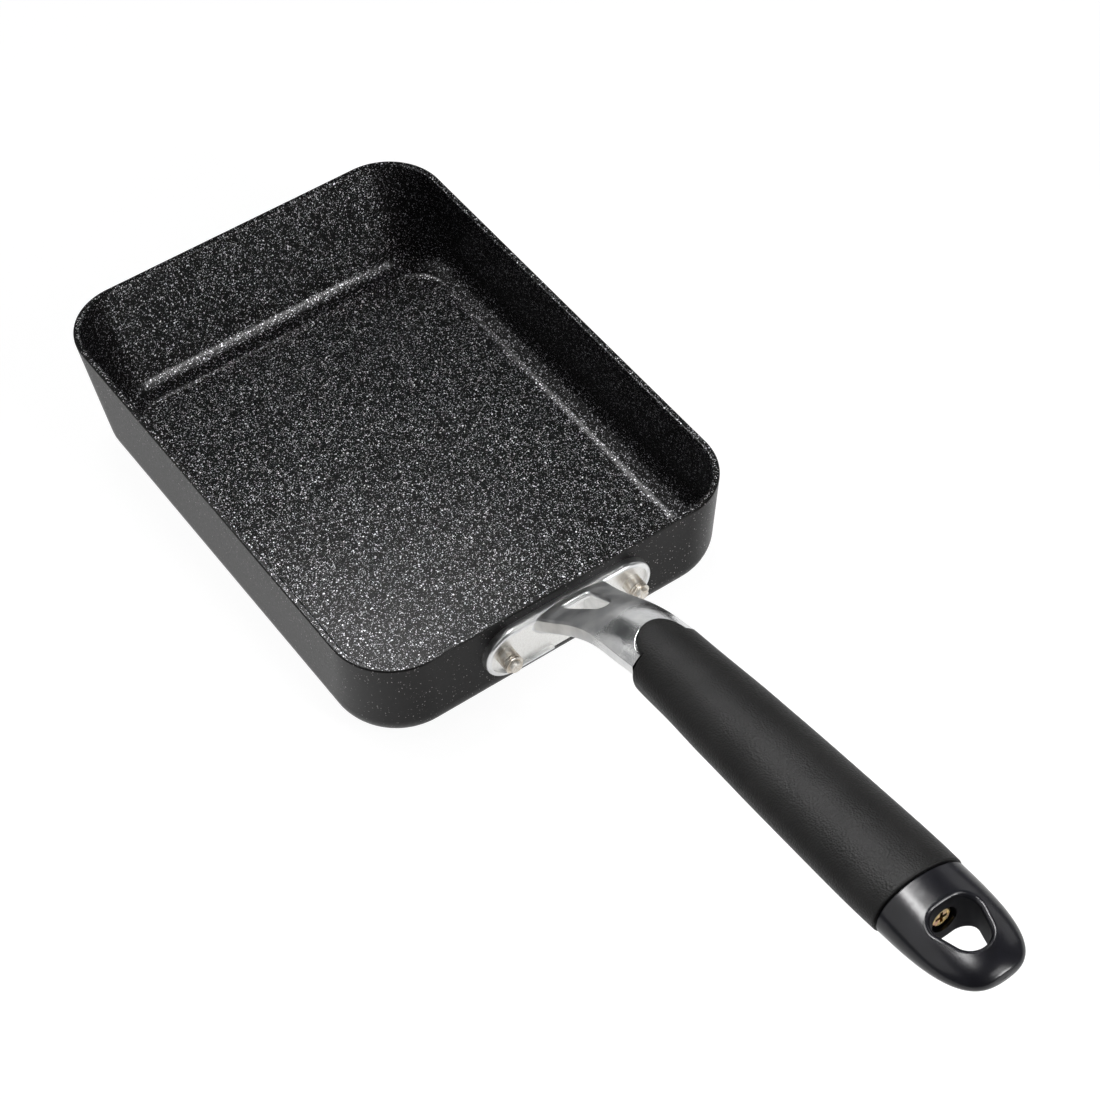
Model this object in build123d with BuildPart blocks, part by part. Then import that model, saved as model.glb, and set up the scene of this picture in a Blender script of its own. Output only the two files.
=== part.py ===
from build123d import *
import os
from math import cos, radians, sin, sqrt

os.makedirs("parts", exist_ok=True)

# Pan body
pan_length = 185.0
pan_width = 134.0
pan_height = 35.5
pan_wall = 2.2
pan_floor = 2.8
rim_corner_radius = 20.3
base_corner_radius = 22.0
far_wall_lean = 18.0
handle_wall_lean = 1.2
side_wall_lean = 0.8
base_edge_radius = 10.0
floor_edge_radius = 8.0
rim_round = 0.5

# Flange of the handle bracket, riveted to the pan's end wall
flange_length = 59.0
flange_height = 20.0
flange_centre_height = 22.0
flange_thickness = 3.0
lip_width = 1.5
lip_depth = 1.1
lip_round = 1.0

# Rivets
rivet_spacing = 45.4
rivet_shank_radius = 2.5
rivet_head_radius = 5.5
rivet_head_height = 1.3
rivet_head_round = 0.6
rivet_collar_radius = 3.0
rivet_collar_length = 5.0
rivet_groove_width = 0.45
rivet_groove_depth = 0.3
rivet_tail_radius = 2.2
rivet_tail_length = 1.2
rivet_dimple_radius = 1.1
rivet_dimple_depth = 0.5
rivet_clearance = 0.05

# Arm of the bracket, from the flange up to the grip
arm_reach = 48.0
arm_root_width = 25.6
arm_bevel = 0.7
arm_hollow_width = 11.4
arm_hollow_roof = 2.6
arm_hollow_reach = 30.0
arm_hollow_round = 2.0
eye_web = 3.4
eye_width = 8.8
eye_length = 14.5
eye_nose_radius = 2.2
eye_corner_radius = 0.9
eye_edge_round = 1.0
arm_root_round = 1.0

# Handle: its axis starts at the arm's end face and climbs away from the pan
handle_start_height = 51.6
handle_tilt = 6.4
grip_length = 107.0
grip_width = 30.0
grip_top = 9.2
grip_belly = 9.6
sleeve_thickness = 2.4
sleeve_clearance = 0.15
sleeve_front_round = 1.0
sleeve_end_round = 0.5
joint_gap = 0.2

# Rounded nose of the grip, let into the top of the arm between two prongs
nose_radius = 7.5
nose_floor_height = 5.2
prong_round = 1.4
cup_edge_round = 0.25

# Tang of the bracket inside the handle core
tang_length = 24.0
tang_width = 9.0
tang_height = 6.0
tang_round = 0.8
tang_clearance = 0.15
socket_end_clearance = 0.3

# Bare end of the handle core, with its hanging hole
groove_width = 1.0
groove_depth = 1.2
end_step = 0.35
end_thinning_share = 0.35
end_width_power = 3.0
end_height_power = 2.7
hang_hole_start = 10.0
hang_hole_length = 14.8
hang_hole_width = 14.4
hang_hole_corner_radius = 4.4
hang_hole_end_radius = 5.6
hang_hole_rim_round = 1.2
hang_hole_tip = 8.4

# Handle screw and its washers
screw_radius = 2.0
screw_clearance = 0.3
thread_clearance = 0.05
thread_length = 12.0
tapped_depth = 14.0
screw_head_radius = 3.3
screw_head_height = 2.4
screw_head_round = 0.7
screw_head_sink = 1.0
cross_width = 1.0
cross_length = 3.8
cross_depth = 1.4
washer_radius = 3.7
washer_thickness = 0.8
spring_washer_radius = 3.2
spring_washer_thickness = 1.0
spring_washer_split = 0.6
counterbore_clearance = 0.4

# One overrun serves every cut
overrun = 5.0

# Stations along the arm, from the pan's wall to its end face. Shares of the arm's
# reach, of its climb, of half its root width, and of the grip's height above the axis
arm_stations_share = [
    # along, climb, half width, crown, side, belly
    (0.03, 0.00, 1.00, 0.10, 0.55, 0.82),
    (0.12, 0.12, 0.93, 0.14, 0.56, 0.72),
    (0.23, 0.27, 0.85, 0.18, 0.58, 0.60),
    (0.34, 0.43, 0.79, 0.23, 0.61, 0.48),
    (0.46, 0.59, 0.77, 0.29, 0.59, 0.40),
    (0.58, 0.72, 0.79, 0.36, 0.52, 0.37),
    (0.73, 0.84, 0.83, 0.44, 0.46, 0.37),
    (0.88, 0.93, 0.845, 0.49, 0.44, 0.37),
]
arm_root_height = 30.6
arm_end_width_share = 0.85
arm_end_crown_share = 0.51
arm_end_side_share = 0.43
arm_end_belly_share = 0.37

# Stations along the grip. Shares of its length, half its width, and its height above
# and depth below the axis, which grows into a finger stop at the front
grip_stations_share = [
    # along, half width, top, belly
    (-0.12, 0.745, 0.920, 1.24),
    (0.00, 0.775, 0.940, 1.27),
    (0.05, 0.790, 0.955, 1.27),
    (0.12, 0.815, 0.967, 1.13),
    (0.20, 0.850, 0.980, 1.01),
    (0.35, 0.900, 0.995, 0.97),
    (0.50, 0.938, 1.000, 0.98),
    (0.65, 0.965, 1.000, 0.99),
    (0.80, 0.990, 1.000, 0.99),
    (0.92, 1.000, 0.995, 0.98),
    (1.00, 0.990, 0.985, 0.97),
]

# Stations along the rounded end of the handle, as shares of its length
end_stations_share = [0, 0.1, 0.2, 0.3, 0.4, 0.5, 0.6, 0.7, 0.8, 0.87, 0.92, 0.96, 0.985]

# Derived places
wall_face_x = pan_length / 2 - handle_wall_lean * (1 - flange_centre_height / pan_height)
wall_plane = Plane(
    origin=(wall_face_x, 0, flange_centre_height),
    x_dir=(0, 1, 0),
    z_dir=(pan_height, 0, -handle_wall_lean),
)
recess_height = flange_thickness - lip_depth

handle_axis = Vector(cos(radians(handle_tilt)), 0, sin(radians(handle_tilt)))
handle_up = Vector(-sin(radians(handle_tilt)), 0, cos(radians(handle_tilt)))
handle_origin = Vector(wall_face_x + arm_reach, 0, handle_start_height)
handle_line = Axis(handle_origin, handle_axis)
section_plane = Plane(origin=handle_origin, x_dir=(0, 1, 0), z_dir=handle_axis)
plan_plane = Plane(origin=handle_origin, x_dir=handle_axis, z_dir=handle_up)

hang_hole_near = grip_length + hang_hole_start
handle_length = hang_hole_near + hang_hole_length + hang_hole_tip
end_length = handle_length - grip_length - groove_width
screw_stack = washer_thickness + spring_washer_thickness + screw_head_height
screw_seat = hang_hole_near - screw_stack - screw_head_sink
arm_end_width = arm_end_width_share * arm_root_width
arm_end_rise = grip_top * grip_stations_share[1][2] - grip_top * arm_end_crown_share
arm_climb = handle_start_height + arm_end_rise - arm_root_height


def skin(lean):
    """Horizontal thickness of a pan wall that leans in by this much at the base."""
    return pan_wall * sqrt(1 + (lean / pan_height) ** 2)


def pan_loop(height, hollow):
    """Rounded rectangle of the pan's outside, or of its hollow, at one height."""
    sunk_share = 1 - height / pan_height
    far = far_wall_lean * sunk_share
    near = handle_wall_lean * sunk_share
    side = side_wall_lean * sunk_share
    corner = rim_corner_radius + (base_corner_radius - rim_corner_radius) * sunk_share
    if hollow:
        far += skin(far_wall_lean)
        near += skin(handle_wall_lean)
        side += skin(side_wall_lean)
        corner -= pan_wall
    with BuildSketch(Plane.XY.offset(height)) as loop:
        with Locations(((far - near) / 2, 0)):
            RectangleRounded(pan_length - far - near, pan_width - 2 * side, corner)
    return loop.sketch


def arm_section(plane, half_width, rise, crown, side, belly):
    """Arm section: crowned top, bevelled shoulders, upright sides and round belly."""
    shoulder = half_width - arm_bevel
    with BuildSketch(plane) as section:
        with BuildLine():
            ThreePointArc((-shoulder, rise), (0, rise + crown), (shoulder, rise))
            Polyline((shoulder, rise), (half_width, rise - arm_bevel), (half_width, rise - side))
            ThreePointArc(
                (half_width, rise - side), (0, rise - side - belly), (-half_width, rise - side)
            )
            Polyline((-half_width, rise - side), (-half_width, rise - arm_bevel), (-shoulder, rise))
        make_face()
    return section.sketch


def oval_section(station, half_width, top, belly):
    """Handle section: one half ellipse above the axis and another below it."""
    with BuildSketch(section_plane.offset(station)) as section:
        with BuildLine():
            EllipticalCenterArc((0, 0), half_width, top, start_angle=0, arc_size=180)
            EllipticalCenterArc((0, 0), half_width, belly, start_angle=180, arc_size=180)
        make_face()
    return section.sketch


def grip_sections(inset, first):
    """Sections of the grip, all drawn in by the inset, from one station on."""
    return [
        oval_section(
            along * grip_length,
            half * grip_width / 2 - inset,
            top * grip_top - inset,
            belly * grip_belly - inset,
        )
        for along, half, top, belly in grip_stations_share[first:]
    ]


def nose_sketch(growth):
    """Plan of the grip's front with its round nose, wider all round by the growth."""
    with BuildSketch(plan_plane.offset(nose_floor_height - growth)) as plan:
        with Locations((joint_gap - growth, 0)):
            Rectangle(grip_width, grip_width, align=(Align.MIN, Align.CENTER))
        Circle(nose_radius + growth)
        fillet(plan.vertices().sort_by_distance(handle_origin)[:2], radius=prong_round)
    return plan.sketch


def rivet(side):
    """Rivet with a low head inside the pan and a grooved collar outside."""
    place = Plane(
        origin=wall_plane.from_local_coords((side * rivet_spacing / 2, 0, 0)),
        x_dir=wall_plane.x_dir,
        z_dir=wall_plane.z_dir,
    )
    seat = -pan_wall
    collar_end = recess_height + rivet_collar_length
    tail_end = collar_end + rivet_tail_length
    groove_pitch = 2 * rivet_groove_width
    with BuildPart(place) as body:
        with Locations((0, 0, seat)):
            Cylinder(
                rivet_head_radius, rivet_head_height, align=(Align.CENTER, Align.CENTER, Align.MAX)
            )
        fillet(
            body.edges().filter_by(GeomType.CIRCLE).sort_by(Axis.X)[0], radius=rivet_head_round
        )
        with Locations((0, 0, seat)):
            Cylinder(
                rivet_shank_radius,
                pan_wall + recess_height,
                align=(Align.CENTER, Align.CENTER, Align.MIN),
            )
        with Locations((0, 0, recess_height)):
            Cylinder(
                rivet_collar_radius,
                rivet_collar_length,
                align=(Align.CENTER, Align.CENTER, Align.MIN),
            )
        with Locations((0, 0, collar_end)):
            Cone(
                rivet_tail_radius,
                rivet_tail_radius - rivet_groove_depth,
                rivet_tail_length,
                align=(Align.CENTER, Align.CENTER, Align.MIN),
            )
        with Locations((0, 0, tail_end)):
            Cone(
                0,
                rivet_dimple_radius,
                rivet_dimple_depth,
                align=(Align.CENTER, Align.CENTER, Align.MAX),
                mode=Mode.SUBTRACT,
            )
        for number in (1, 2):
            with BuildSketch(place.offset(collar_end - number * groove_pitch)):
                Circle(rivet_collar_radius + overrun)
                Circle(rivet_collar_radius - rivet_groove_depth, mode=Mode.SUBTRACT)
            extrude(amount=rivet_groove_width, mode=Mode.SUBTRACT)
    return body.part


# Hollow of the pan, with a rounded turn from the floor into the walls
with BuildPart() as pan_hollow:
    loft([pan_loop(pan_floor, True), pan_loop(pan_height + overrun, True)], ruled=True)
    fillet(pan_hollow.faces().sort_by(Axis.Z)[0].edges(), radius=floor_edge_radius)

# Pan body: three steep walls, and a far wall that leans out so the roll turns easily
with BuildPart() as pan_body:
    loft([pan_loop(0, False), pan_loop(pan_height, False)], ruled=True)
    fillet(pan_body.faces().sort_by(Axis.Z)[0].edges(), radius=base_edge_radius)
    add(pan_hollow.part, mode=Mode.SUBTRACT)
    fillet(pan_body.faces().sort_by(Axis.Z)[-1].edges(), radius=rim_round)
    with BuildSketch(wall_plane):
        with GridLocations(rivet_spacing, 0, 2, 1):
            Circle(rivet_shank_radius + rivet_clearance)
    extrude(amount=pan_wall + overrun, both=True, mode=Mode.SUBTRACT)
pan_body.part.label = "pan_body"

# Underside hollow of the arm: its roof keeps one thickness below the arm's top
hollow_ends = [s for s in arm_stations_share if s[0] * arm_reach < arm_hollow_reach]
roof_points = [
    (
        wall_face_x + along * arm_reach,
        arm_root_height + climb * arm_climb + crown * grip_top - arm_hollow_roof,
    )
    for along, climb, half, crown, side, belly in hollow_ends[1:]
]
roof_start = wall_plane.from_local_coords(
    (0, arm_root_height - arm_hollow_roof - flange_centre_height, recess_height)
)
mouth_start = wall_plane.from_local_coords((0, -flange_height, recess_height))
with BuildPart() as arm_hollow:
    with BuildSketch(Plane.XZ):
        with BuildLine():
            Polyline(
                (mouth_start.X, mouth_start.Z),
                (roof_start.X, roof_start.Z),
                *roof_points,
                (roof_points[-1][0], mouth_start.Z),
                close=True,
            )
        make_face()
    extrude(amount=arm_hollow_width / 2, both=True)
    fillet(arm_hollow.edges().filter_by(Axis.Z), radius=arm_hollow_round)

# Die-cast bracket: recessed flange, crowned arm with its eye, prongs and tang
with BuildPart() as handle_bracket:
    with BuildSketch(wall_plane):
        SlotOverall(flange_length, flange_height)
    extrude(amount=flange_thickness)
    fillet(
        handle_bracket.faces().sort_by(Axis.X)[-1].edges(),
        radius=lip_round,
    )
    with BuildSketch(wall_plane.offset(recess_height)):
        SlotOverall(flange_length - 2 * lip_width, flange_height - 2 * lip_width)
    extrude(amount=overrun, mode=Mode.SUBTRACT)

    arm_sections = [
        arm_section(
            Plane(
                origin=(wall_face_x + along * arm_reach, 0, 0), x_dir=(0, 1, 0), z_dir=(1, 0, 0)
            ),
            half * arm_root_width / 2,
            arm_root_height + climb * arm_climb,
            crown * grip_top,
            side * grip_top,
            belly * grip_top,
        )
        for along, climb, half, crown, side, belly in arm_stations_share
    ]
    arm_sections.append(
        arm_section(
            section_plane,
            arm_end_width / 2,
            arm_end_rise,
            arm_end_crown_share * grip_top,
            arm_end_side_share * grip_top,
            arm_end_belly_share * grip_top,
        )
    )
    loft(arm_sections)

    add(arm_hollow.part, mode=Mode.SUBTRACT)

    eye_start = wall_face_x + flange_thickness + eye_web
    eye_nose = eye_start + eye_length - eye_nose_radius
    with BuildSketch(Plane.XY.offset(flange_centre_height)):
        with Locations((eye_nose, 0)):
            Circle(eye_nose_radius)
        with Locations((eye_start + eye_corner_radius, 0)):
            with GridLocations(0, eye_width - 2 * eye_corner_radius, 1, 2):
                Circle(eye_corner_radius)
        make_hull()
    extrude(amount=pan_height, mode=Mode.SUBTRACT)
    eye_edges = handle_bracket.edges(Select.NEW).filter_by(GeomType.BSPLINE)
    fillet(eye_edges.sort_by(SortBy.LENGTH)[-3:], radius=eye_edge_round)

    extrude(nose_sketch(joint_gap), amount=grip_top, mode=Mode.SUBTRACT)
    cup_edges = handle_bracket.edges(Select.NEW).filter_by(GeomType.BSPLINE)
    fillet(cup_edges.sort_by(SortBy.LENGTH)[-1], radius=cup_edge_round)

    with BuildSketch(section_plane):
        RectangleRounded(tang_width, tang_height, tang_round)
    extrude(amount=tang_length)
    with BuildSketch(section_plane.offset(tang_length)):
        Circle(screw_radius + thread_clearance)
    extrude(amount=-tapped_depth, mode=Mode.SUBTRACT)

    with BuildSketch(wall_plane):
        with GridLocations(rivet_spacing, 0, 2, 1):
            Circle(rivet_shank_radius + rivet_clearance)
    extrude(amount=flange_thickness + overrun, mode=Mode.SUBTRACT)

    recess_face = handle_bracket.faces().filter_by(wall_plane).sort_by(SortBy.AREA)[-2]
    root_edges = recess_face.edges().filter_by(GeomType.BSPLINE)
    fillet(root_edges.sort_by(SortBy.LENGTH)[-4:], radius=arm_root_round)
handle_bracket.part.label = "handle_bracket"

rivet_left = rivet(-1)
rivet_left.label = "rivet_left"
rivet_right = rivet(1)
rivet_right.label = "rivet_right"

# What the sleeve leaves free for the arm: all in front of it but the nose
with BuildPart() as sleeve_front:
    with BuildSketch(section_plane.offset(joint_gap)):
        Rectangle(grip_width + overrun, 2 * grip_width)
    extrude(amount=-(nose_radius + 2 * overrun))
    extrude(nose_sketch(0), amount=grip_width, mode=Mode.SUBTRACT)

# Grip sleeve: swelling oval with a finger stop below and the nose on top
with BuildPart() as grip_sleeve:
    loft(grip_sections(0, 0))
    add(sleeve_front.part, mode=Mode.SUBTRACT)
    front_edges = grip_sleeve.edges(Select.NEW).filter_by(GeomType.BSPLINE)
    fillet(front_edges, radius=sleeve_front_round)
    fillet(grip_sleeve.faces().sort_by(handle_line)[-1].edges(), radius=sleeve_end_round)
    loft(grip_sections(sleeve_thickness, 1), mode=Mode.SUBTRACT)
grip_sleeve.part.label = "grip_sleeve"


def end_section(along_share):
    """Section of the core's bare end, at a share of the way to its tip."""
    width_share = (1 - along_share**end_width_power) ** (1 / end_width_power)
    height_share = (1 - along_share**end_height_power) ** (1 / end_height_power)
    height_share *= 1 - end_thinning_share * along_share
    last = grip_stations_share[-1]
    return oval_section(
        grip_length + groove_width + along_share * end_length,
        (last[1] * grip_width / 2 - end_step) * width_share,
        (last[2] * grip_top - end_step) * height_share,
        (last[3] * grip_belly - end_step) * height_share,
    )


# Handle core: hard bar inside the sleeve, ending in the bare hanging end
with BuildPart() as handle_core:
    loft(grip_sections(sleeve_thickness + sleeve_clearance, 1))
    extrude(
        oval_section(
            grip_length,
            grip_stations_share[-1][1] * grip_width / 2 - groove_depth,
            grip_stations_share[-1][2] * grip_top - groove_depth,
            grip_stations_share[-1][3] * grip_belly - groove_depth,
        ),
        amount=groove_width,
    )
    end_tip = handle_origin + handle_axis * handle_length
    loft([end_section(share) for share in end_stations_share] + [Vertex(*end_tip)])

    round_end = hang_hole_near + hang_hole_length - hang_hole_end_radius
    with BuildSketch(plan_plane):
        with Locations((round_end, 0)):
            Circle(hang_hole_end_radius)
        with Locations((hang_hole_near + hang_hole_corner_radius, 0)):
            with GridLocations(0, hang_hole_width - 2 * hang_hole_corner_radius, 1, 2):
                Circle(hang_hole_corner_radius)
        make_hull()
    extrude(amount=grip_width, both=True, mode=Mode.SUBTRACT)
    rim_edges = handle_core.edges(Select.NEW).filter_by(GeomType.LINE, reverse=True)
    fillet(rim_edges, radius=hang_hole_rim_round)

    with BuildSketch(section_plane):
        RectangleRounded(
            tang_width + 2 * tang_clearance, tang_height + 2 * tang_clearance, tang_round
        )
    extrude(amount=tang_length + socket_end_clearance, mode=Mode.SUBTRACT)
    with BuildSketch(section_plane):
        Circle(screw_radius + screw_clearance)
    extrude(amount=screw_seat, mode=Mode.SUBTRACT)
    with BuildSketch(section_plane.offset(screw_seat)):
        Circle(washer_radius + counterbore_clearance)
    extrude(amount=screw_stack + overrun, mode=Mode.SUBTRACT)
handle_core.part.label = "handle_core"

# Flat washer at the bottom of the counterbore
with BuildPart(section_plane.offset(screw_seat)) as screw_washer:
    Cylinder(washer_radius, washer_thickness, align=(Align.CENTER, Align.CENTER, Align.MIN))
    Hole(screw_radius + screw_clearance)
screw_washer.part.label = "screw_washer"

# Split spring washer
with BuildPart(section_plane.offset(screw_seat + washer_thickness)) as spring_washer:
    Cylinder(
        spring_washer_radius,
        spring_washer_thickness,
        align=(Align.CENTER, Align.CENTER, Align.MIN),
    )
    Hole(screw_radius + screw_clearance)
    with Locations((spring_washer_radius, 0, 0)):
        Box(
            2 * spring_washer_radius - 2 * screw_radius,
            spring_washer_split,
            2 * spring_washer_thickness,
            mode=Mode.SUBTRACT,
        )
spring_washer.part.label = "spring_washer"

# Long screw from the hanging hole, through the core, into the tang
head_seat = screw_seat + washer_thickness + spring_washer_thickness
screw_tip = tang_length - thread_length
with BuildPart(section_plane.offset(head_seat)) as handle_screw:
    Cylinder(
        screw_head_radius, screw_head_height, align=(Align.CENTER, Align.CENTER, Align.MIN)
    )
    fillet(
        handle_screw.edges().filter_by(GeomType.CIRCLE).sort_by(Axis.X)[-1],
        radius=screw_head_round,
    )
    Cylinder(
        screw_radius, head_seat - screw_tip, align=(Align.CENTER, Align.CENTER, Align.MAX)
    )
    with BuildSketch(section_plane.offset(head_seat + screw_head_height)):
        Rectangle(cross_length, cross_width)
        Rectangle(cross_width, cross_length)
    extrude(amount=-cross_depth, mode=Mode.SUBTRACT)
handle_screw.part.label = "handle_screw"

pieces = [
    pan_body.part,
    handle_bracket.part,
    rivet_left,
    rivet_right,
    handle_core.part,
    grip_sleeve.part,
    handle_screw.part,
    screw_washer.part,
    spring_washer.part,
]
for piece in pieces:
    export_step(piece, f"parts/{piece.label}.step")
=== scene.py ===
import bpy
from math import cos, radians, sin
from mathutils import Matrix, Vector


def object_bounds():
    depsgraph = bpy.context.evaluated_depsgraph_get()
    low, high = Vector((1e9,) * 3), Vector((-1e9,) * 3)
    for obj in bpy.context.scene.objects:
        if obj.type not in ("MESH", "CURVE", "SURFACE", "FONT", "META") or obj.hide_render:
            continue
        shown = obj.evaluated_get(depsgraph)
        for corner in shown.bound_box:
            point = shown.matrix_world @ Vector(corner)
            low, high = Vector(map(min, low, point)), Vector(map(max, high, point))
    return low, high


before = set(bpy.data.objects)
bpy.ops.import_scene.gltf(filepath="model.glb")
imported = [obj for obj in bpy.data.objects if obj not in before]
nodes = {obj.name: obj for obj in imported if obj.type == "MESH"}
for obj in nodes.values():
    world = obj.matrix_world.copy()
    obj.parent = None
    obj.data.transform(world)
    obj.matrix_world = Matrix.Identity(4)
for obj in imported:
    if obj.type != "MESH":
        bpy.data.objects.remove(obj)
cad_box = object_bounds()
scene = bpy.context.scene
mm = 0.001


# Node trees
class Paint:
    """A node material around one Principled shader, with short calls for its nodes."""

    def __init__(self, name, **sockets):
        self.material = bpy.data.materials.new(name)
        self.material.use_nodes = True
        self.tree = self.material.node_tree
        self.tree.nodes.clear()
        self.shader = self.add("ShaderNodeBsdfPrincipled", **sockets)
        self.output = self.add("ShaderNodeOutputMaterial")
        self.join(self.shader.outputs["BSDF"], self.output.inputs["Surface"])
        self.place = self.add("ShaderNodeTexCoord").outputs["Object"]
        self.normal = self.add("ShaderNodeNewGeometry").outputs["Normal"]

    def join(self, start, end):
        self.tree.links.new(start, end)

    def put(self, socket, value):
        """Links a socket to another one, or gives it a fixed number or colour."""
        if isinstance(value, bpy.types.NodeSocket):
            self.join(value, socket)
        elif isinstance(value, tuple) and len(value) == 3 and socket.type == "RGBA":
            socket.default_value = (*value, 1)
        else:
            socket.default_value = value

    def set(self, **sockets):
        """Sets inputs of the Principled shader, named with _ for a space."""
        for key, value in sockets.items():
            self.put(self.shader.inputs[key.replace("_", " ")], value)

    def add(self, kind, settings=None, **sockets):
        node = self.tree.nodes.new(kind)
        for key, value in (settings or {}).items():
            setattr(node, key, value)
        for key, value in sockets.items():
            self.put(node.inputs[key.replace("_", " ")], value)
        return node

    def math(self, operation, *values, clamp=False):
        node = self.add("ShaderNodeMath", {"operation": operation, "use_clamp": clamp})
        for socket, value in zip(node.inputs, values):
            self.put(socket, value)
        return node.outputs[0]

    def vector(self, operation, *values, result="Vector"):
        node = self.add("ShaderNodeVectorMath", {"operation": operation})
        for socket, value in zip(node.inputs, values):
            self.put(socket, value)
        return node.outputs[result]

    def split(self, value):
        return self.add("ShaderNodeSeparateXYZ", Vector=value).outputs

    def step(self, value, low, high, start=0.0, end=1.0):
        """Smooth step of a value from low to high, given out from start to end."""
        node = self.add(
            "ShaderNodeMapRange",
            {"interpolation_type": "SMOOTHSTEP"},
            Value=value,
            From_Min=low,
            From_Max=high,
            To_Min=start,
            To_Max=end,
        )
        return node.outputs[0]

    def mix(self, share, first, second, kind="RGBA"):
        """Blend of two colours, or of two numbers with kind FLOAT."""
        node = self.add("ShaderNodeMix", {"data_type": kind})
        self.put(node.inputs["Factor"], share)
        self.put(node.inputs["A"], first)
        self.put(node.inputs["B"], second)
        return node.outputs["Result"]

    def colour(self, red, green, blue):
        return self.add("ShaderNodeCombineColor", Red=red, Green=green, Blue=blue).outputs[0]

    def noise(self, size, detail=2.0, result="Fac"):
        node = self.add("ShaderNodeTexNoise", Vector=self.place, Scale=1 / size, Detail=detail)
        return node.outputs[result]

    def cells(self, size, place):
        return self.add("ShaderNodeTexVoronoi", Vector=place, Scale=1 / size)

    def grains(self, cell, small, large, share, place):
        """Mask and tone of round grains, one in some of the cells of that size."""
        node = self.cells(cell, place)
        chance = self.add("ShaderNodeSeparateColor", Color=node.outputs["Color"]).outputs
        radius = self.step(chance[0], 0.0, 1.0, small / cell, large / cell)
        core_share = 0.55
        shape = self.add(
            "ShaderNodeMapRange",
            Value=node.outputs["Distance"],
            From_Min=radius,
            From_Max=self.math("MULTIPLY", radius, core_share),
            To_Min=0.0,
            To_Max=1.0,
        ).outputs[0]
        there = self.math("LESS_THAN", chance[1], share)
        return self.math("MULTIPLY", shape, there), chance[2]

    def bump(self, height, distance):
        return self.add("ShaderNodeBump", Height=height, Distance=distance, Strength=1.0).outputs[0]


def dress(paint, *names):
    """Gives CAD nodes their finished material."""
    for name in names:
        for slot in nodes[name].material_slots:
            slot.material = paint.material


def inside_share(pan):
    """1 on the faces that look in or up, and 0 on the pan's outside."""
    rim_bias = 20 * mm
    blend = 2 * mm
    flat_place = pan.vector("MULTIPLY", pan.place, (1, 1, 0))
    outward = pan.vector("DOT_PRODUCT", pan.normal, flat_place, result="Value")
    upward = pan.math("MULTIPLY", pan.split(pan.normal)[2], rim_bias)
    return pan.step(pan.math("SUBTRACT", upward, outward), -blend, blend)


def strewn_place(pan):
    """Object place with a fine drift, which makes the grains irregular."""
    ripple_size, reach = mm / 2.2, 0.8 * mm
    ripple = pan.noise(ripple_size, 1.0, "Color")
    drift = pan.vector("MULTIPLY", pan.vector("SUBTRACT", ripple, (0.5, 0.5, 0.5)), (reach,) * 3)
    return pan.vector("ADD", pan.place, drift)


def mica_flakes(pan, place):
    """Brightness of the coating's flakes, in three sizes."""
    fine, fine_tone = pan.grains(0.32 * mm, 0.09 * mm, 0.17 * mm, 0.5, place)
    mid, mid_tone = pan.grains(0.7 * mm, 0.13 * mm, 0.22 * mm, 0.6, place)
    bold, bold_tone = pan.grains(1.5 * mm, 0.2 * mm, 0.32 * mm, 0.55, place)
    fine_contrast = 2.4
    fine_tone = pan.math("POWER", fine_tone, fine_contrast)
    fine_light = pan.math("MULTIPLY", fine, pan.step(fine_tone, 0.0, 1.0, 0.02, 1.0))
    mid_light = pan.math("MULTIPLY", mid, pan.step(mid_tone, 0.0, 1.0, 0.55, 1.0))
    bold_light = pan.math("MULTIPLY", bold, pan.step(bold_tone, 0.0, 1.0, 0.7, 1.0))
    return pan.math("MAXIMUM", pan.math("MAXIMUM", fine_light, mid_light), bold_light)


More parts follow.
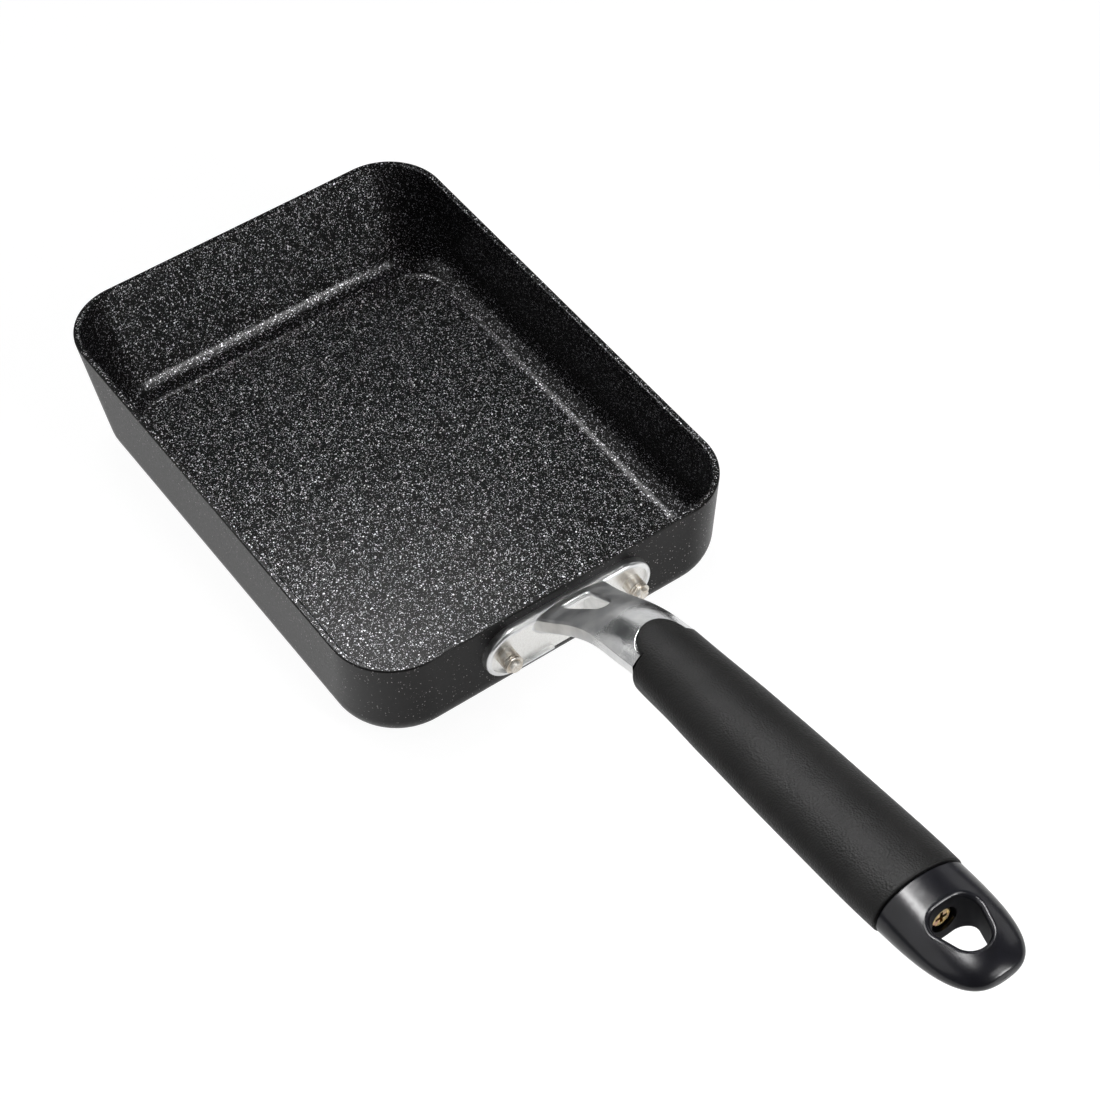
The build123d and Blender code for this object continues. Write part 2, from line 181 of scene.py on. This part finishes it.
def pan_finish():
    """Mica flakes in a black coating inside and over the rim, dark lacquered paint outside."""
    pan = Paint("pan_finish", Coat_Roughness=0.17, Specular_IOR_Level=0.08)
    inside = inside_share(pan)
    place = strewn_place(pan)
    light = mica_flakes(pan, place)

    haze = pan.step(pan.noise(20 * mm, 3.0), 0.3, 0.7, 0.001, 0.003)
    tone = pan.math("ADD", haze, light)
    coolness = 1.05
    coating = pan.colour(tone, tone, pan.math("MULTIPLY", tone, coolness))

    dust, dust_tone = pan.grains(0.8 * mm, 0.12 * mm, 0.24 * mm, 0.6, place)
    dust_light = pan.math("MULTIPLY", dust, pan.step(dust_tone, 0.2, 1.0, 0.0, 0.5))
    skin_tone = pan.step(pan.noise(30 * mm, 2.0), 0.3, 0.7, 0.006, 0.010)
    skin_tone = pan.math("ADD", skin_tone, dust_light)
    warmth = 1.08
    skin = pan.colour(pan.math("MULTIPLY", skin_tone, warmth), skin_tone, skin_tone)
    pan.set(Base_Color=pan.mix(inside, skin, coating))

    flake_gain, flake_metal, flake_polish = 6.0, 0.9, 0.27
    flake = pan.math("MULTIPLY", pan.math("MULTIPLY", light, inside), flake_gain, clamp=True)
    peel = pan.noise(0.7 * mm, 2.0)
    satin = pan.step(peel, 0.2, 0.8, 0.34, 0.46)
    matt = pan.step(peel, 0.2, 0.8, 0.6, 0.7)
    matt = pan.math("SUBTRACT", matt, pan.math("MULTIPLY", flake, flake_polish))
    pan.set(Metallic=pan.math("MULTIPLY", flake, flake_metal))
    pan.set(Roughness=pan.mix(inside, satin, matt, "FLOAT"))

    # Painted shade: the end walls get less lacquer than the long sides, so their reflections are
    # darker.
    end_lacquer_painted_shade, side_lacquer, inner_lacquer = 0.12, 0.34, 0.3
    side_share = pan.math("ABSOLUTE", pan.split(pan.normal)[1])
    outer_lacquer_with_painted_shade = pan.step(side_share, 0.0, 1.0, end_lacquer_painted_shade, side_lacquer)
    pan.set(Coat_Weight=pan.step(inside, 0.0, 1.0, outer_lacquer_with_painted_shade, inner_lacquer))

    peel_share, flake_share = 0.6, 0.5
    relief = pan.math(
        "ADD", pan.math("MULTIPLY", peel, peel_share), pan.math("MULTIPLY", light, flake_share)
    )
    pan.set(Normal=pan.bump(relief, 0.02 * mm))
    return pan


def cast_metal():
    """Polished casting, duller on the flange's recessed face and at the arm's root."""
    cast = Paint("cast_metal", Metallic=1.0)
    lip_x = 94.5 * mm
    root_end, root_start, root_waver = 130 * mm, 122 * mm, 10 * mm
    facing = cast.split(cast.normal)[0]
    along = cast.split(cast.place)[0]
    recess = cast.math("MULTIPLY", cast.step(facing, 0.9, 0.98), cast.math("LESS_THAN", along, lip_x))
    cloud = cast.noise(6 * mm, 4.0)
    pits = cast.noise(0.5 * mm, 3.0)

    bright = cast.mix(cast.step(cloud, 0.35, 0.65), (0.74, 0.745, 0.75), (0.88, 0.88, 0.875))
    dull = cast.mix(cast.step(pits, 0.3, 0.7), (0.86, 0.85, 0.825), (0.96, 0.955, 0.935))
    cast.set(Base_Color=cast.mix(recess, bright, dull))

    recess_rough, root_rough = 0.2, 0.14
    wavering = cast.math("ADD", along, cast.math("MULTIPLY", cloud, root_waver))
    root = cast.step(wavering, root_end, root_start)
    sandy = cast.math(
        "MAXIMUM", cast.math("MULTIPLY", recess, recess_rough), cast.math("MULTIPLY", root, root_rough)
    )
    polish = cast.step(cloud, 0.3, 0.7, 0.14, 0.26)
    cast.set(Roughness=cast.math("ADD", polish, sandy))

    swell_share = 2.5
    swell = cast.math("MULTIPLY", cast.noise(2.2 * mm, 2.0), swell_share)
    cast.set(Normal=cast.bump(cast.math("ADD", pits, swell), 0.03 * mm))
    return cast


def rivet_metal():
    """Satin metal with a warm, cloudy surface."""
    stud = Paint("rivet_metal", Metallic=1.0)
    cloud = stud.noise(1.6 * mm, 3.0)
    tint = stud.mix(stud.step(cloud, 0.35, 0.65), (0.62, 0.56, 0.48), (0.8, 0.77, 0.72))
    stud.set(Base_Color=tint, Roughness=stud.step(cloud, 0.3, 0.7, 0.38, 0.5))
    stud.set(Normal=stud.bump(stud.noise(0.3 * mm, 2.0), 0.01 * mm))
    return stud


def soft_grip():
    """Soft, matt and fine grained plastic."""
    grip = Paint("soft_grip", Specular_IOR_Level=0.22)
    grain = grip.cells(0.6 * mm, grip.place).outputs["Distance"]
    cloud = grip.step(grip.noise(12 * mm, 3.0), 0.35, 0.65)
    grip.set(Base_Color=grip.mix(cloud, (0.010, 0.0097, 0.0095), (0.014, 0.0136, 0.0133)))
    grip.set(Roughness=grip.step(grain, 0.1, 0.7, 0.4, 0.5))
    grip.set(Normal=grip.bump(grain, 0.1 * mm))
    return grip


def hanging_hole_walls(hard):
    """1 on the upright walls of the hanging hole, which get painted shade, and 0 on all else."""
    middle_x, half_length, half_width = 264.5 * mm, 10.5 * mm, 8 * mm
    along, beside, _ = hard.split(hard.place)
    off_middle = hard.math("ABSOLUTE", hard.math("SUBTRACT", along, middle_x))
    in_length = hard.math("LESS_THAN", off_middle, half_length)
    in_width = hard.math("LESS_THAN", hard.math("ABSOLUTE", beside), half_width)
    upright = hard.step(hard.math("ABSOLUTE", hard.split(hard.normal)[2]), 0.55, 0.35)
    return hard.math("MULTIPLY", hard.math("MULTIPLY", in_length, in_width), upright)


def hard_plastic():
    """Hard glossy plastic, with painted shade inside the hanging hole: its walls are black and matt.
    """
    hard = Paint("hard_plastic", Specular_IOR_Level=0.5)
    flow = hard.noise(9 * mm, 3.0)
    tint = hard.mix(hard.step(flow, 0.35, 0.65), (0.006, 0.006, 0.008), (0.010, 0.010, 0.013))
    # Painted shade: a metallic share on the black base makes the hanging hole's walls black and
    # mirrorless.
    painted_shade_share, painted_shade_rough = 0.85, 0.55
    painted_shade_walls = hard.math("MULTIPLY", hanging_hole_walls(hard), painted_shade_share)
    sheen = hard.step(hard.noise(4 * mm, 4.0), 0.3, 0.7, 0.22, 0.24)
    hard.set(Base_Color=tint, Metallic=painted_shade_walls)
    hard.set(Roughness=hard.math("ADD", sheen, hard.math("MULTIPLY", painted_shade_walls, painted_shade_rough)))
    hard.set(Normal=hard.bump(flow, 0.005 * mm))
    return hard


def plated_steel():
    """Yellow plating with a faint play of colour."""
    plated = Paint("plated_steel", Metallic=1.0)
    cloud = plated.noise(2.2 * mm, 3.0)
    yellow = plated.mix(plated.step(cloud, 0.35, 0.6), (0.5, 0.34, 0.12), (0.34, 0.28, 0.14))
    reddish = plated.step(plated.noise(3.5 * mm, 2.0), 0.5, 0.7)
    plated.set(Base_Color=plated.mix(reddish, yellow, (0.4, 0.22, 0.15)))
    plated.set(Roughness=plated.step(cloud, 0.3, 0.7, 0.25, 0.4))
    return plated


def washer_steel():
    """Plain steel."""
    steel = Paint("washer_steel", Metallic=1.0)
    cloud = steel.noise(1.5 * mm, 3.0)
    tint = steel.mix(steel.step(cloud, 0.3, 0.7), (0.5, 0.5, 0.5), (0.66, 0.65, 0.63))
    steel.set(Base_Color=tint, Roughness=steel.step(cloud, 0.3, 0.7, 0.25, 0.4))
    return steel


dress(pan_finish(), "pan_body")
dress(cast_metal(), "handle_bracket")
dress(rivet_metal(), "rivet_left", "rivet_right")
dress(soft_grip(), "grip_sleeve")
dress(hard_plastic(), "handle_core")
dress(plated_steel(), "handle_screw")
dress(washer_steel(), "screw_washer", "spring_washer")


def place_camera():
    """Camera at the photograph's angle: azimuth, elevation and roll of the view."""
    azimuth, elevation, roll = radians(55.66), radians(50.25), radians(-1.60)
    target = Vector((63.90 * mm, 14.64 * mm, 13.40 * mm))
    distance = 870.31 * mm
    photo_width_px, focal_length_px, sensor_width_mm = 1100, 2878.64, 36
    back = Vector((sin(azimuth) * cos(elevation), -cos(azimuth) * cos(elevation), sin(elevation)))
    level = Vector((cos(azimuth), sin(azimuth), 0))
    upright = back.cross(level)
    across = level * cos(roll) + upright * sin(roll)
    above = upright * cos(roll) - level * sin(roll)
    turn = Matrix((across, above, back)).transposed().to_4x4()
    camera = bpy.data.objects.new("camera", bpy.data.cameras.new("camera"))
    camera.matrix_world = Matrix.Translation(target + back * distance) @ turn
    camera.data.sensor_width = sensor_width_mm
    camera.data.lens = sensor_width_mm * focal_length_px / photo_width_px
    camera.data.clip_end = 20
    scene.collection.objects.link(camera)
    scene.camera = camera


def ground_paint():
    """Pale ground that keeps the shadow, whiter where the camera sees it, and clear from below."""
    ground = Paint("floor", Base_Color=(0.88, 0.88, 0.88), Roughness=0.8, Specular_IOR_Level=0.2)
    seen_white, mirrored_white, white_strength = 0.8, 0.55, 1.17
    path = ground.add("ShaderNodeLightPath").outputs
    mirrored = ground.math("MAXIMUM", path["Is Glossy Ray"], path["Is Transmission Ray"])
    white_share = ground.math(
        "ADD",
        ground.math("MULTIPLY", path["Is Camera Ray"], seen_white),
        ground.math("MULTIPLY", mirrored, mirrored_white),
    )
    white = ground.add("ShaderNodeEmission", Color=(1.0, 1.0, 1.0), Strength=white_strength)
    lit = ground.add("ShaderNodeMixShader", Fac=white_share)
    ground.join(ground.shader.outputs["BSDF"], lit.inputs[1])
    ground.join(white.outputs[0], lit.inputs[2])
    from_below = ground.add("ShaderNodeNewGeometry").outputs["Backfacing"]
    whole = ground.add("ShaderNodeMixShader", Fac=from_below)
    ground.join(lit.outputs[0], whole.inputs[1])
    ground.join(ground.add("ShaderNodeBsdfTransparent").outputs[0], whole.inputs[2])
    ground.join(whole.outputs[0], ground.output.inputs["Surface"])
    return ground


def lay_floor():
    """Pale floor, a hair under the part."""
    reach, gap = 6.0, 0.2 * mm
    mesh = bpy.data.meshes.new("floor")
    corners = [(-reach, -reach, 0), (reach, -reach, 0), (reach, reach, 0), (-reach, reach, 0)]
    mesh.from_pydata(corners, [], [(0, 1, 2, 3)])
    mesh.materials.append(ground_paint().material)
    floor = bpy.data.objects.new("floor", mesh)
    floor.location.z = cad_box[0].z - gap
    scene.collection.objects.link(floor)


def make_world():
    """Dim world, a little darker overhead than at the horizon."""
    horizon_strength, overhead_strength, overhead_height = 0.1, 0.06, 0.9
    world = bpy.data.worlds.new("world")
    world.use_nodes = True
    tree = world.node_tree
    around = tree.nodes.new("ShaderNodeTexCoord")
    height = tree.nodes.new("ShaderNodeSeparateXYZ")
    fade = tree.nodes.new("ShaderNodeMapRange")
    fade.inputs["From Min"].default_value = 0.0
    fade.inputs["From Max"].default_value = overhead_height
    fade.inputs["To Min"].default_value = horizon_strength
    fade.inputs["To Max"].default_value = overhead_strength
    background = tree.nodes["Background"].inputs
    tree.links.new(around.outputs["Generated"], height.inputs[0])
    tree.links.new(height.outputs[2], fade.inputs["Value"])
    tree.links.new(fade.outputs[0], background["Strength"])
    background["Color"].default_value = (0.95, 0.98, 1.0, 1)
    scene.world = world


def lamp(name, azimuth, elevation, size, power, distance=1.2, aim=(0.09, 0, 0.03), spread=180):
    """Rectangular lamp that looks at a point, from a direction in degrees and a distance."""
    data = bpy.data.lights.new(name, "AREA")
    data.shape = "RECTANGLE"
    data.size, data.size_y = size
    data.energy = power
    data.spread = radians(spread)
    turn, climb = radians(azimuth), radians(elevation)
    toward = Vector((cos(turn) * cos(climb), sin(turn) * cos(climb), sin(climb)))
    made = bpy.data.objects.new(name, data)
    made.location = Vector(aim) + toward * distance
    made.rotation_euler = toward.to_track_quat("Z", "Y").to_euler()
    scene.collection.objects.link(made)


place_camera()
lay_floor()
make_world()

# Lamps with narrow beams, aimed at the arm and the handle
lamp("key_lamp", 168, 55, (0.42, 0.42), 0.28, distance=1.1, aim=(0.22, 0, 0.04), spread=30)
lamp("grip_lamp", 165, 55, (0.12, 0.12), 0.004, distance=1.1, aim=(0.265, 0, 0.07), spread=12)
lamp("end_lamp", -168, 67, (0.2, 0.2), 0.07, distance=1.0, aim=(0.255, 0, 0.07), spread=24)
lamp("top_lamp", -174, 84, (0.2, 0.2), 0.04, distance=1.0, aim=(0.27, 0, 0.07), spread=24)

# Low lamps that the bracket's arm mirrors
lamp("far_lamp", 152, 12, (0.6, 0.5), 0.55)
lamp("arm_lamp", -148, 12, (0.5, 0.4), 0.22)

# Lamps on the handle's side, which light the far wall and the rounded edge under it
lamp("side_lamp", 22, 23, (0.28, 0.28), 4.2)
lamp("high_lamp", 24, 41, (0.36, 0.5), 2.3)

# Lamps on the two long sides
lamp("left_lamp", -120, 42, (1.4, 1.0), 3.6)
lamp("right_lamp", 95, 28, (0.6, 0.5), 0.75)

scene.view_settings.view_transform = "Standard"
